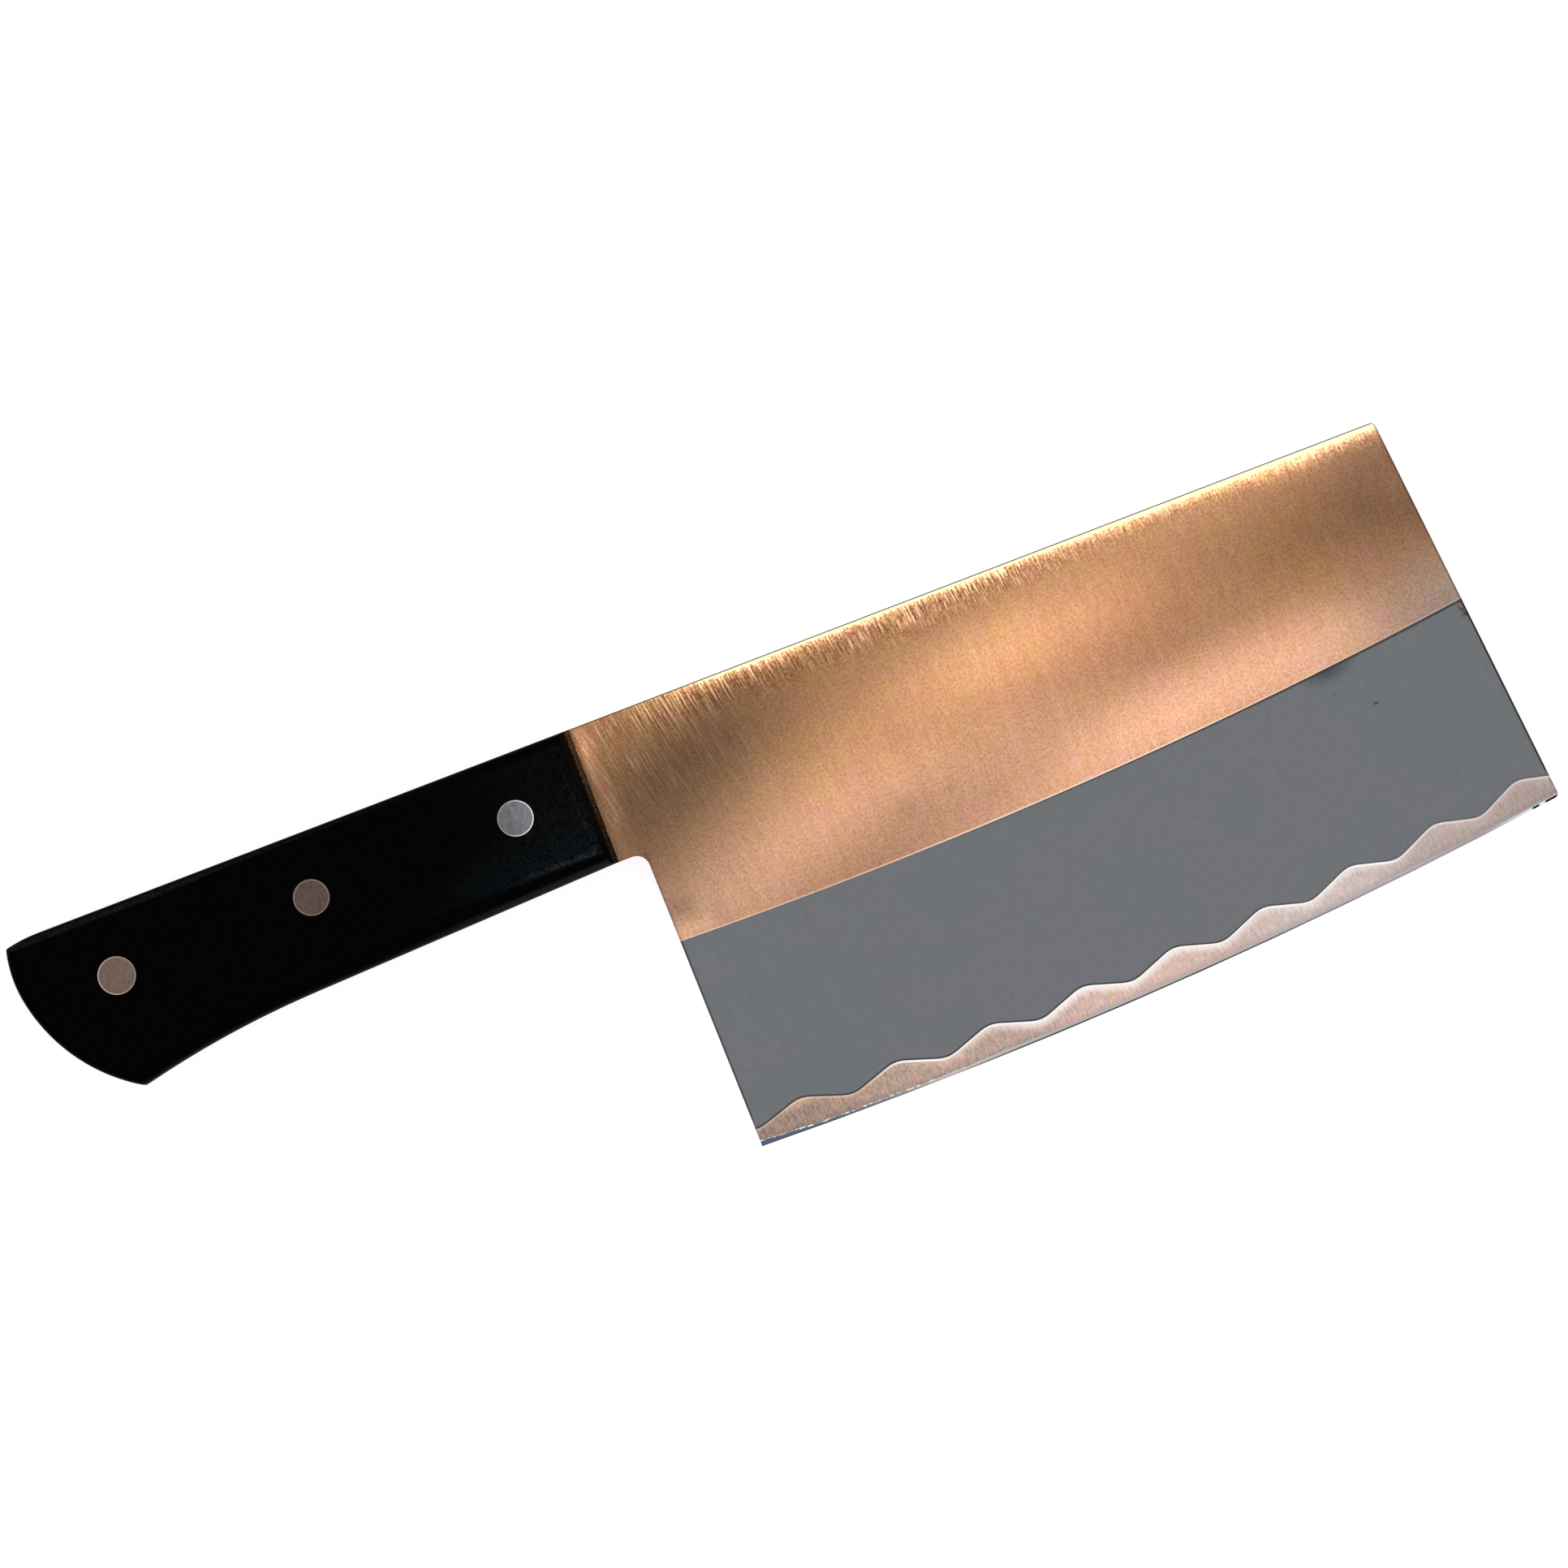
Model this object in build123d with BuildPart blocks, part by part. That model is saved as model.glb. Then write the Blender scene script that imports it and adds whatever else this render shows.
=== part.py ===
"""A Chinese vegetable cleaver: a tall steel blade with a full tang, two handle scales and three rivets.

The knife lies on its left side. +X runs from the butt of the handle to the tip of the blade, +Y from the
cutting edge to the spine, and +Z up, out of the blade's right face. The origin is the middle of the bounding
box's underside. All sizes are in millimetres.
"""

from build123d import *

import os
from math import sqrt

# Blade outline, measured forward from the handle's front and down from the spine
edge_length = 180.0
heel_setback = 6.7
heel_lean = 1.0
tip_lean = 8.3
blade_height = 95.3
belly_reach = 32.8
edge_radius = 1170.0
choil_radius = 2.8
tip_corner_radius = 1.0

# Blade section
blade_thickness = 2.2
bevel_height = 45.6
bevel_end_thickness = 0.5
edge_bevel_width = 0.9
edge_land = 0.06
spine_edge_radius = 0.35

# Handle outline, measured back from the handle's front, in from its rear end and down from the spine.
# The underside drops a little along its straight run and then further to the beak at its rear corner
handle_length = 125.7
handle_front_height = 29.3
underside_run = 68.7
underside_drop = 2.8
beak_inset = 17.9
beak_drop = 5.4
beak_radius = 0.55
butt_bend_inset = 0.35
butt_bend_depth = 11.9
butt_crown_depth = 7.7
butt_top_inset = 0.9
butt_top_depth = 0.85
top_droop_run = 7.3
butt_top_radius = 0.8

# Tang, left a little thicker than the ground blade, and handle scales
tang_thickness = 2.3
scale_thickness = 8.35
top_edge_radius = 1.7
underside_edge_radius = 3.0
front_chamfer_width = 3.0
front_chamfer_depth = 2.4

# Rivets, measured back from the handle's front, in from its rear end and down from the spine
front_rivet_setback = 16.7
rear_rivet_inset = 20.4
middle_rivet_share = 0.511
front_rivet_depth = 13.2
middle_rivet_depth = 13.4
rear_rivet_depth = 14.1
head_diameter = 8.0
head_height = 2.6
sleeve_diameter = 5.0
pin_diameter = 3.2
seat_clearance = 0.02
tube_clearance = 0.1
pin_clearance = 0.02
end_clearance = 0.4

# How far a cutting or trimming solid runs past what it cuts
overrun = 5.0

# Places that follow from the sizes above
tip_reach = heel_setback + edge_length
belly_x = heel_setback + belly_reach
arc_centre_y = edge_radius - blade_height
handle_thickness = tang_thickness + 2 * scale_thickness

# The knife's middle plane, with its origin where the handle's front meets the spine
knife_plane = Plane(origin=((handle_length - tip_reach) / 2, blade_height / 2, handle_thickness / 2))
tang_face = knife_plane.offset(tang_thickness / 2)
right_handle_face = knife_plane.offset(handle_thickness / 2)
left_handle_face = knife_plane.offset(-handle_thickness / 2)

# The beak, where the handle's underside meets the curve of its butt
beak = (beak_inset - handle_length, -handle_front_height - underside_drop - beak_drop)

# Rivet places in the knife's plane, with the middle one set by its share of the way from front to rear
rear_rivet_setback = handle_length - rear_rivet_inset
middle_rivet_setback = front_rivet_setback + middle_rivet_share * (rear_rivet_setback - front_rivet_setback)
rivet_places = {
    "front": (-front_rivet_setback, -front_rivet_depth),
    "middle": (-middle_rivet_setback, -middle_rivet_depth),
    "rear": (-rear_rivet_setback, -rear_rivet_depth),
}


def edge_y(x):
    """Height of the cutting edge, on its circle, at a distance x in front of the handle."""
    return arc_centre_y - sqrt(edge_radius**2 - (x - belly_x) ** 2)


def handle_outline():
    """The outline that the tang and both scales are ground to together."""
    front_foot = (0, -handle_front_height)
    straight_end = (-underside_run, -handle_front_height - underside_drop)
    butt_bend = (butt_bend_inset - handle_length, -butt_bend_depth)
    butt_crown = (-handle_length, -butt_crown_depth)
    butt_top = (butt_top_inset - handle_length, -butt_top_depth)
    droop_start = (butt_top_inset + top_droop_run - handle_length, 0)
    with BuildSketch() as outline:
        with BuildLine():
            Line((0, 0), front_foot)
            underside = Line(front_foot, straight_end)
            TangentArc(straight_end, beak, tangent=underside % 1)
            TangentArc(butt_crown, butt_top, tangent=(0, 1))
            bend = TangentArc(butt_crown, butt_bend, tangent=(0, -1))
            TangentArc(butt_bend, beak, tangent=bend % 1)
            TangentArc(droop_start, butt_top, tangent=(-1, 0))
            Line(droop_start, (0, 0))
        make_face()
        fillet(outline.vertices().sort_by_distance(butt_top)[0], butt_top_radius)
    return outline.sketch


def blade_outline():
    """The blade's outline from the spine round the tip and heel, running back a little into the tang."""
    heel = (heel_setback, edge_y(heel_setback))
    choil = (heel_setback - heel_lean, -handle_front_height)
    spine_end = (tip_reach - tip_lean, 0)
    tip = (tip_reach, edge_y(tip_reach))
    with BuildSketch() as outline:
        with BuildLine():
            Polyline(heel, choil, (-overrun, -handle_front_height), (-overrun, 0), spine_end, tip)
            ThreePointArc(tip, (belly_x, -blade_height), heel)
        make_face()
        fillet(outline.vertices().sort_by_distance(choil)[0], choil_radius)
        fillet(outline.vertices().sort_by(Axis.X)[-2:], tip_corner_radius)
    return outline.sketch


def wedge_section():
    """The blade's section across its edge, as distance from the centre of the edge's arc and height."""
    top = edge_radius - blade_height - overrun
    with BuildSketch() as section:
        with BuildLine():
            Polyline(
                (top, 0),
                (top, blade_thickness / 2),
                (edge_radius - bevel_height, blade_thickness / 2),
                (edge_radius - edge_bevel_width, bevel_end_thickness / 2),
                (edge_radius, edge_land / 2),
                (edge_radius + overrun, edge_land / 2),
                (edge_radius + overrun, 0),
                (top, 0),
            )
        make_face()
        mirror(about=Plane.XZ)
    return section.sketch


# Blade and tang: a ring of the wedge section, cut to the outline, so that the bevels follow the curved edge
arc_centre = knife_plane.from_local_coords((belly_x, arc_centre_y, 0))
across_edge = Plane(origin=arc_centre, x_dir=(1, 0, 0), z_dir=(0, -1, 0))
across_spine = Plane(origin=knife_plane.origin, x_dir=(0, 1, 0), z_dir=(1, 0, 0))
with BuildPart() as blade:
    with BuildSketch(across_edge):
        add(wedge_section())
    revolve(axis=Axis(arc_centre, (0, 0, 1)))
    with BuildSketch(knife_plane):
        add(blade_outline())
    extrude(amount=blade_thickness, both=True, mode=Mode.INTERSECT)
    with BuildSketch(across_spine) as bar:
        Rectangle(blade_height + overrun, blade_thickness, align=(Align.MAX, Align.CENTER))
        fillet(bar.vertices().group_by(Axis.Y)[-1], spine_edge_radius)
    extrude(amount=tip_reach + overrun, both=True, mode=Mode.INTERSECT)
    with BuildSketch(knife_plane) as tang:
        add(handle_outline())
        fillet(tang.vertices().sort_by_distance(beak)[0], beak_radius)
    extrude(amount=tang_thickness / 2, both=True)
    with Locations(knife_plane):
        with Locations(*rivet_places.values()):
            Hole(sleeve_diameter / 2 + tube_clearance)

# Right handle scale: a slab on the tang, chamfered at the front and rounded along its other outer edges,
# with a stepped hole for each rivet
with BuildPart() as right_scale:
    with BuildSketch(tang_face):
        add(handle_outline())
    extrude(amount=scale_thickness)
    rim = right_scale.faces().sort_by(Axis.Z)[-1].edges()
    chamfer(rim.sort_by(Axis.X)[-1], front_chamfer_width, front_chamfer_depth)
    rim = right_scale.faces().sort_by(Axis.Z)[-1].edges().filter_by(GeomType.LINE)
    fillet(rim.sort_by(Axis.Y)[0], underside_edge_radius)
    rim = right_scale.faces().sort_by(Axis.Z)[-1].edges().filter_by(GeomType.LINE)
    fillet(rim.sort_by(Axis.Y)[-1], top_edge_radius)
    with Locations(right_handle_face):
        with Locations(*rivet_places.values()):
            CounterBoreHole(
                sleeve_diameter / 2 + tube_clearance,
                head_diameter / 2 + seat_clearance,
                head_height,
            )

# Left handle scale: the right one's mirror image
with BuildPart() as left_scale:
    mirror(right_scale.part, about=knife_plane)

# Rivets: a sleeve whose head is flush with the left scale, and a stud pressed into it from the right
pieces = {"blade": blade, "right_scale": right_scale, "left_scale": left_scale}
shank_length = handle_thickness - 2 * head_height
for name, place in rivet_places.items():
    left_end = Plane(origin=left_handle_face.from_local_coords(place))
    right_end = Plane(origin=right_handle_face.from_local_coords(place))
    with BuildPart() as sleeve:
        with BuildSketch(left_end):
            Circle(head_diameter / 2)
        extrude(amount=head_height)
        with BuildSketch(left_end.offset(head_height)):
            Circle(sleeve_diameter / 2)
        extrude(amount=shank_length - end_clearance)
        with BuildSketch(left_end.offset(head_height)):
            Circle(pin_diameter / 2 + pin_clearance)
        extrude(amount=shank_length, mode=Mode.SUBTRACT)
    with BuildPart() as stud:
        with BuildSketch(right_end):
            Circle(head_diameter / 2)
        extrude(amount=-head_height)
        with BuildSketch(right_end.offset(-head_height)):
            Circle(pin_diameter / 2)
        extrude(amount=end_clearance - shank_length)
    pieces[f"{name}_rivet_sleeve"] = sleeve
    pieces[f"{name}_rivet_stud"] = stud

# One labelled file for each piece
os.makedirs("parts", exist_ok=True)
for name, piece in pieces.items():
    piece.part.label = name
    export_step(piece.part, f"parts/{name}.step")
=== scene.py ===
# %% [markdown]
# # Dressing a Chinese vegetable cleaver
# The real knife is one sheet of steel, a tall blade with a narrow tang behind it, and two slabs of black
# laminate, held to the tang by three rivets of two halves each. The packed model already holds these nine
# pieces as solids of the right shape. They could be modelled again here, but a solid that is right needs only
# its finish. So this lesson builds three finishes, and sets the camera and the light.

# %% Load the packed pieces
import math

import bpy
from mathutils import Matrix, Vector


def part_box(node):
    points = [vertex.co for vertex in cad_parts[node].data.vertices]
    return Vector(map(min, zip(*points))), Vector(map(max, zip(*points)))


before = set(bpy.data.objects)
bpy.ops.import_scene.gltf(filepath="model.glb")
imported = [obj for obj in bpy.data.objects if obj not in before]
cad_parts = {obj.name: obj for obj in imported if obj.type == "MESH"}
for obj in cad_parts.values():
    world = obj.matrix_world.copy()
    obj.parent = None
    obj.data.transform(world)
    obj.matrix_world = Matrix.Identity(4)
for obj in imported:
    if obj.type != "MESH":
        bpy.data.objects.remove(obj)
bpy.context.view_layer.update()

mm_per_metre = 1000
print("pieces:", sorted(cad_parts))

# %% [markdown]
# ## The camera
# The photograph looks straight down at the knife, which lies turned by 21 degrees. The handle stands 8 mm
# higher than the blade, so a camera close by would make it look too big. A long lens from further away
# keeps both in proportion, as the photograph shows them.

# %% Place the camera
picture_width = 0.3244
picture_centre = (0.00718, 0.02124)
measured_height = 0.0125
knife_turn = math.radians(20.94)
lens = bpy.data.cameras.new("long_lens")
lens.lens = 800
lens.sensor_width = 36
reach = picture_width * lens.lens / lens.sensor_width
camera = bpy.data.objects.new("camera", lens)
camera.location = (*picture_centre, measured_height + reach)
camera.rotation_euler = (0, 0, -knife_turn)
bpy.context.collection.objects.link(camera)
bpy.context.scene.camera = camera
bpy.context.scene.view_settings.view_transform = "Standard"
print("camera height in m:", round(camera.location.z, 3))

# %% [markdown]
# ## The floor and the light
# The knife was photographed on white, with hardly any shadow. A lit paper table does that: the floor glows a
# little by itself, so the shadow under the knife stays faint. Satin steel shows what stands around it, so
# broad soft boxes hang overhead and beside it, rather than one small lamp that would leave a hot spot.

# %% Lay the floor
floor_width = 40.0
half = floor_width / 2
corners = [(-half, -half, 0), (half, -half, 0), (half, half, 0), (-half, half, 0)]
floor_mesh = bpy.data.meshes.new("table_top")
floor_mesh.from_pydata(corners, [], [(0, 1, 2, 3)])
floor = bpy.data.objects.new("table_top", floor_mesh)
bpy.context.collection.objects.link(floor)
paper = bpy.data.materials.new("white_paper")
paper.use_nodes = True
paper_shader = paper.node_tree.nodes["Principled BSDF"]
paper_shader.inputs["Base Color"].default_value = (0.45, 0.45, 0.45, 1)
paper_shader.inputs["Roughness"].default_value = 0.9
paper_shader.inputs["Specular IOR Level"].default_value = 0.1
paper_shader.inputs["Emission Color"].default_value = (1, 1, 1, 1)
paper_shader.inputs["Emission Strength"].default_value = 0.8
floor_mesh.materials.append(paper)
print("floor width in m:", floor_width)

# %% Light the room
watts_per_square_metre = 2
lamp_aim = Vector((0.05, 0, 0))
room = bpy.data.worlds.new("studio")
room.use_nodes = True
room.node_tree.nodes["Background"].inputs["Color"].default_value = (1, 1, 1, 1)
room.node_tree.nodes["Background"].inputs["Strength"].default_value = 0.55
bpy.context.scene.world = room


def soft_box(name, place, size, brightness, tint=(1, 1, 1)):
    """Hang a rectangular light of a given size and brightness at a place, turned to face the blade."""
    light = bpy.data.lights.new(name, "AREA")
    light.shape = "RECTANGLE"
    light.size, light.size_y = size
    light.energy = watts_per_square_metre * brightness * size[0] * size[1]
    light.color = tint
    box = bpy.data.objects.new(name, light)
    box.location = place
    box.rotation_euler = (Vector(place) - lamp_aim).to_track_quat("Z", "Y").to_euler()
    box.visible_camera = False
    bpy.context.collection.objects.link(box)


soft_box("overhead_box", (0.1, 0.1, 2.4), (2.4, 2.4), 1.0)
soft_box("spine_strip", (0.1, 1.0, 2.0), (1.8, 0.35), 1.5, (1.0, 0.95, 0.86))
soft_box("edge_strip", (0.1, -1.2, 1.6), (1.6, 0.5), 1.5, (0.9, 0.95, 1.0))

# %% [markdown]
# ## Wiring up a finish
# A finish is a little network of nodes. Adding each node by hand takes four lines, so a short class keeps
# the network and gives one word for each step of arithmetic. All places are in millimetres, so that every
# number below can be read off a ruler laid on the knife. Colours and tones are shares of the light that the
# surface gives back.

# %% The words for sums and links


class Network:
    """A material being wired up. Each word adds nodes and gives back the socket that they end in."""

    def __init__(self, name, **fixed):
        self.material = bpy.data.materials.new(name)
        self.material.use_nodes = True
        self.nodes = self.material.node_tree.nodes
        self.links = self.material.node_tree.links
        self.shader = self.nodes["Principled BSDF"]
        for socket, value in fixed.items():
            self.shader.inputs[socket.replace("_", " ")].default_value = value
        seen = self.nodes.new("ShaderNodeTexCoord").outputs
        self.facing = self.split(seen["Normal"])
        self.place = self.vector("MULTIPLY", seen["Object"], (mm_per_metre,) * 3)
        self.x, self.y, self.z = self.split(self.place)

    def join(self, value, socket):
        """Link a socket to another, or set it to a number or a colour."""
        if isinstance(value, bpy.types.NodeSocket):
            self.links.new(value, socket)
        elif socket.type == "RGBA":
            socket.default_value = (*value, 1)
        else:
            socket.default_value = value

    def add(self, kind, *values, **settings):
        """One node, with its first inputs filled in order."""
        node = self.nodes.new(kind)
        for name, value in settings.items():
            setattr(node, name, value)
        for socket, value in zip(node.inputs, values):
            self.join(value, socket)
        return node.outputs[0]

    def split(self, place):
        """The three parts of a place or direction."""
        return self.add("ShaderNodeSeparateXYZ", place).node.outputs[:]

    def calc(self, operation, *values):
        """One step of arithmetic."""
        return self.add("ShaderNodeMath", *values, operation=operation)

    def vector(self, operation, *values):
        """One step of arithmetic on places or colours."""
        return self.add("ShaderNodeVectorMath", *values, operation=operation)

    def measure(self, operation, *values):
        """One step of arithmetic on places that ends in a length."""
        return self.vector(operation, *values).node.outputs[1]

    def total(self, *values):
        """All the values added up."""
        result = values[0]
        for value in values[1:]:
            result = self.calc("ADD", result, value)
        return result

    def times(self, *values):
        """All the values multiplied together."""
        result = values[0]
        for value in values[1:]:
            result = self.calc("MULTIPLY", result, value)
        return result

    def paint(self, **values):
        """Lead each value to the shader's socket of that name."""
        for socket, value in values.items():
            self.join(value, self.shader.inputs[socket.replace("_", " ")])


print("a network can:", [word for word in vars(Network) if not word.startswith("_")])

# %% [markdown]
# ## Fades, lines, patches and grain
# A few patterns make up every finish in this lesson. A fade eases from one value to another, a line is two
# fades, a patch is an oval one, and a grain is noise stretched along a direction. Pictures wrapped round the
# pieces could hold the same, but they would blur close up, while these stay sharp at any distance.

# %% The words for patterns
grain_roughness = 0.55
endless = 1e6


class Finish(Network):
    """A network that can also lay patterns and colours over one another."""

    def fade(self, value, start, end, low=0.0, high=1.0):
        """Ease from low, where the value is at start, to high, where it is at end."""
        return self.add(
            "ShaderNodeMapRange", value, start, end, low, high, interpolation_type="SMOOTHSTEP"
        )

    def line(self, value, one_side, other_side):
        """A soft line. Each side is a pair: the value where the line ends, and the one where it is full."""
        return self.times(self.fade(value, *one_side), self.fade(value, *other_side))

    def mix(self, share, first, second):
        """The first colour, with a share of the second over it."""
        node = self.nodes.new("ShaderNodeMix")
        node.data_type = "RGBA"
        for index, value in ((0, share), (6, first), (7, second)):
            self.join(value, node.inputs[index])
        return node.outputs[2]

    def shade(self, tone, colour):
        """A colour made lighter or darker by a tone."""
        node = self.nodes.new("ShaderNodeVectorMath")
        node.operation = "SCALE"
        self.join(colour, node.inputs[0])
        self.join(tone, node.inputs[3])
        return node.outputs[0]

    def ruler(self, centre, lengths, turn):
        """Places counted from a centre, in units of the lengths, along axes turned in degrees."""
        node = self.nodes.new("ShaderNodeMapping")
        node.vector_type = "TEXTURE"
        self.join(self.place, node.inputs["Vector"])
        node.inputs["Location"].default_value = centre
        node.inputs["Rotation"].default_value = (0, 0, math.radians(turn))
        node.inputs["Scale"].default_value = lengths
        return node.outputs[0]

    def patch(self, centre, size, turn=0.0):
        """A soft oval of a given width and depth, 1 at its centre and 0 at its rim, turned in degrees."""
        place = self.ruler((*centre, 0), (size[0] / 2, size[1] / 2, endless), turn)
        return self.fade(self.measure("LENGTH", place), 1.0, 0.0)

    def grain(self, lengths, detail=2.0, shift=0.0, turn=0.0):
        """Noise from about -1 to 1, with marks as long as the lengths along X, Y and Z, turned in degrees."""
        place = self.ruler((shift,) * 3, lengths, turn)
        noise = self.add("ShaderNodeTexNoise", place, 0.0, 1.0, detail, grain_roughness)
        return self.calc("MULTIPLY_ADD", noise, 2.0, -1.0)

    def bump(self, height, depth):
        """Relief whose height, from 0 to 1, stands for a depth in millimetres."""
        node = self.nodes.new("ShaderNodeBump")
        node.inputs["Strength"].default_value = 1.0
        node.inputs["Distance"].default_value = depth / mm_per_metre
        self.join(height, node.inputs["Height"])
        self.links.new(node.outputs[0], self.shader.inputs["Normal"])


print("a finish can also:", [word for word in vars(Finish) if not word.startswith("_")])

# %% [markdown]
# ## The blade's zones
# The blade is ground in steps that follow its gently curved edge: a satin flat, a grey bevel, a pale band
# above the edge with a wavy border, and the thin cutting bevel. Because they all follow one big circle, a
# single number sorts them out: how far a point stands above the edge. It is the circle's radius less the
# distance from its centre. Painting each zone on its own would need four masks kept in line by hand. Two more
# numbers place the rest: how far forward of the handle a point lies, and how far down from the spine. They
# are counted from the packed pieces' own boxes, so that the finish stays on them.

# %% Find the handle's front, the spine and the circle of the edge
edge_radius = 1170.0
lowest_forward = 39.5


def box_in_mm(node):
    """The lowest and highest corners of a packed piece, in millimetres."""
    return [[round(mm_per_metre * part, 2) for part in corner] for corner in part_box(node)]


(_, edge_low, _), (blade_tip, spine, _) = box_in_mm("blade")
handle_front, _, handle_top = box_in_mm("right_scale")[1]
edge_centre = (handle_front + lowest_forward, edge_low + edge_radius, 0.0)
print("edge circle in mm:", edge_radius, "round", edge_centre)

# %% Measure the blade from its edge and its spine
flatten = (1, 1, 0)
blade = Finish("satin_blade_steel", Metallic=1.0, Anisotropic=0.6)
level = blade.vector("MULTIPLY", blade.place, flatten)
above_edge = blade.calc("SUBTRACT", edge_radius, blade.measure("DISTANCE", level, edge_centre))
forward = blade.calc("SUBTRACT", blade.x, handle_front)
down = blade.calc("SUBTRACT", spine, blade.y)
tilt = blade.calc("ABSOLUTE", blade.facing[2])
print("blade forward of the handle in mm:", round(blade_tip - handle_front, 1))

# %% [markdown]
# ## The wavy border
# On the real knife the pale band is brought out by etching or blasting, in imitation of the line that
# hardening leaves on a sword. It is a wave whose crests draw closer towards the tip. A cosine of the distance
# along the blade gives it, with a weak one three times as fast that straightens the flanks. A long slow one
# lets the whole wave drift up and down a little. A curve object would float above the steel, while a sum
# stays in it.

# %% The wave, and which side of it a point is on
first_crest = 17.55
crest_spacing = 21.19
crowding = 0.0032
late_crowding = 0.0004
wave_height = 1.32
flank_height = 0.074
flank_speed = 3.0
half_length = 90.0
halfway = blade.calc("MULTIPLY_ADD", forward, 1 / half_length, -1.0)
steps = blade.calc("DIVIDE", blade.calc("SUBTRACT", forward, first_crest), crest_spacing)
early = blade.times(steps, steps, crowding)
late = blade.times(steps, steps, steps, late_crowding)
phase = blade.times(blade.total(steps, early, late), math.tau)
wave = blade.times(blade.calc("COSINE", phase), blade.calc("MULTIPLY_ADD", halfway, -0.02, wave_height))
straighter = blade.times(blade.calc("COSINE", blade.times(phase, flank_speed)), flank_height)
last_step = (blade_tip - handle_front - first_crest) / crest_spacing
last_turn = last_step + crowding * last_step**2 + late_crowding * last_step**3
print("crests along the blade:", math.floor(last_turn) + 1)

# %% Where the border lies
wave_middle = 5.3
climb = 0.17
drift_length = 190.0
drift_crest = 49.5
drift_height = 0.208
soft_edge = 0.06
drift_turns = blade.calc("MULTIPLY_ADD", forward, 1 / drift_length, -drift_crest / drift_length)
drift = blade.times(blade.calc("COSINE", blade.times(drift_turns, math.tau)), drift_height)
border = blade.total(wave, straighter, drift, blade.times(halfway, climb), wave_middle)
over_border = blade.calc("SUBTRACT", above_edge, border)
in_band = blade.fade(over_border, soft_edge, -soft_edge)
print("border above the edge in mm:", wave_middle, "give or take", wave_height)

# %% [markdown]
# ## The satin flat
# Above the grey bevel the steel is ground across, from the spine down, and it mirrors a warm room: copper
# tones that drift from dark beside the handle to a bright ridge, dark again towards the tip, and gold at the
# spine. Lamps alone can't give such tones to a flat plate seen from straight above, so broad soft patches
# paint these reflections into the steel's colour, and the grinding marks break them up.

# %% Soft copper tones: painted reflections of the room
# Each patch is a painted reflection. It has a centre, a width and depth, a turn in degrees, and how much it
# lightens the steel.
patches = [
    ((63, 31), (86, 25), 4, 0.32),
    ((-10, 40), (280, 62), 3, -0.37),
    ((198, 37), (360, 62), 5, -0.65),
    ((98, 6), (88, 30), 5, 0.56),
    ((103, -6), (91, 64), -27, -0.49),
    ((187, -36), (176, 90), -37, -1.57),
    ((7, -5), (167, 33), 15, -0.29),
    ((-33, 12), (150, 58), 28, -0.42),
    ((29, 8), (15, 9), 0, -0.03),
    ((-22, 5), (12, 7), 0, -0.10),
    ((-22, 0), (16, 5), 0, 0.16),
    ((148, 34), (20, 16), 0, 0.07),
    ((-30, 42), (9, 22), 0, 0.20),
    ((-29, 44.8), (7, 8), 0, 0.11),
    ((-13, 45.5), (20, 9), 0, 0.05),
    ((3, 45.2), (64, 7.5), 0, 0.075),
    ((32, 44.8), (64, 7.5), 0, 0.07),
    ((48, 46), (110, 22), 0, -0.04),
    ((46, 43.6), (44, 5), 0, 0.10),
    ((50, 22), (80, 34), 0, -0.04),
    ((72, 27), (26, 34), 0, -0.04),
    ((106, 8), (50, 22), 5, -0.06),
    ((-29.5, 28), (9, 36), 0, 0.08),
    ((29.5, 7.5), (7, 9), 20, -0.06),
    ((38.5, 8.2), (4, 3), 10, -0.08),
    ((47, 4.5), (6, 4), 0, -0.04),
]
middle_tone = 0.695
darkest_tone = 0.12
tone = middle_tone
for centre, size, turn, lift in patches:
    tone = blade.calc("MULTIPLY_ADD", blade.patch(centre, size, turn), lift, tone)
tone = blade.calc("MAXIMUM", tone, darkest_tone)
print("soft patches:", len(patches))

# %% [markdown]
# ## The grinding marks
# A belt leaves thousands of fine scratches, which lean a little, most of all near the handle. A picture of
# brushed steel would show its seams and its repeats, so the marks are noise stretched along one direction.
# They are plainest near the spine and in the first quarter of the blade, and faint elsewhere.

# %% Hairs, long marks and grit
hair_lean = 10.0
upright_lean = 6.0
long_lean = 12.0
through_steel = 40.0
hairs = blade.grain((0.33, 6.5, through_steel), 1.0, 0.0, hair_lean)
upright_hairs = blade.grain((0.33, 4.2, through_steel), 1.0, 9.0, upright_lean)
long_marks = blade.grain((0.4, 8.0, through_steel), 0.0, 5.0, long_lean)
broad = blade.grain((2.6, 34.0, through_steel), 2.0, 7.0)
grit = blade.grain((0.5, 0.55, 0.5), 2.0, 3.0)
print("marks lean in degrees:", hair_lean, upright_lean, long_lean)

# %% Where the marks are plain
deep_strip = 9.5
shallow_strip = 6.0
near_handle = blade.times(blade.fade(forward, 9.0, 1.0), blade.fade(down, 30.0, 20.0))
left_end = blade.fade(forward, 75.0, 25.0)
left_part = blade.times(blade.fade(forward, 48.0, 16.0), blade.fade(down, 27.0, 13.0))
strip_depth = blade.fade(forward, 60.0, 120.0, deep_strip, shallow_strip)
near_spine = blade.fade(blade.calc("DIVIDE", down, strip_depth), 1.0, 0.2)
near_spine = blade.times(near_spine, blade.fade(forward, 4.0, 22.0, 0.3, 1.0))
toward_tip = blade.fade(forward, 95.0, 128.0)
combed = blade.times(near_spine, blade.fade(toward_tip, 0.0, 1.0, 1.0, 0.3))
combed = blade.times(combed, blade.fade(down, 0.8, 3.2, 0.65, 1.0))
combed = blade.calc("MAXIMUM", combed, blade.times(blade.calc("MAXIMUM", left_part, near_handle), 0.13))
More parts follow.
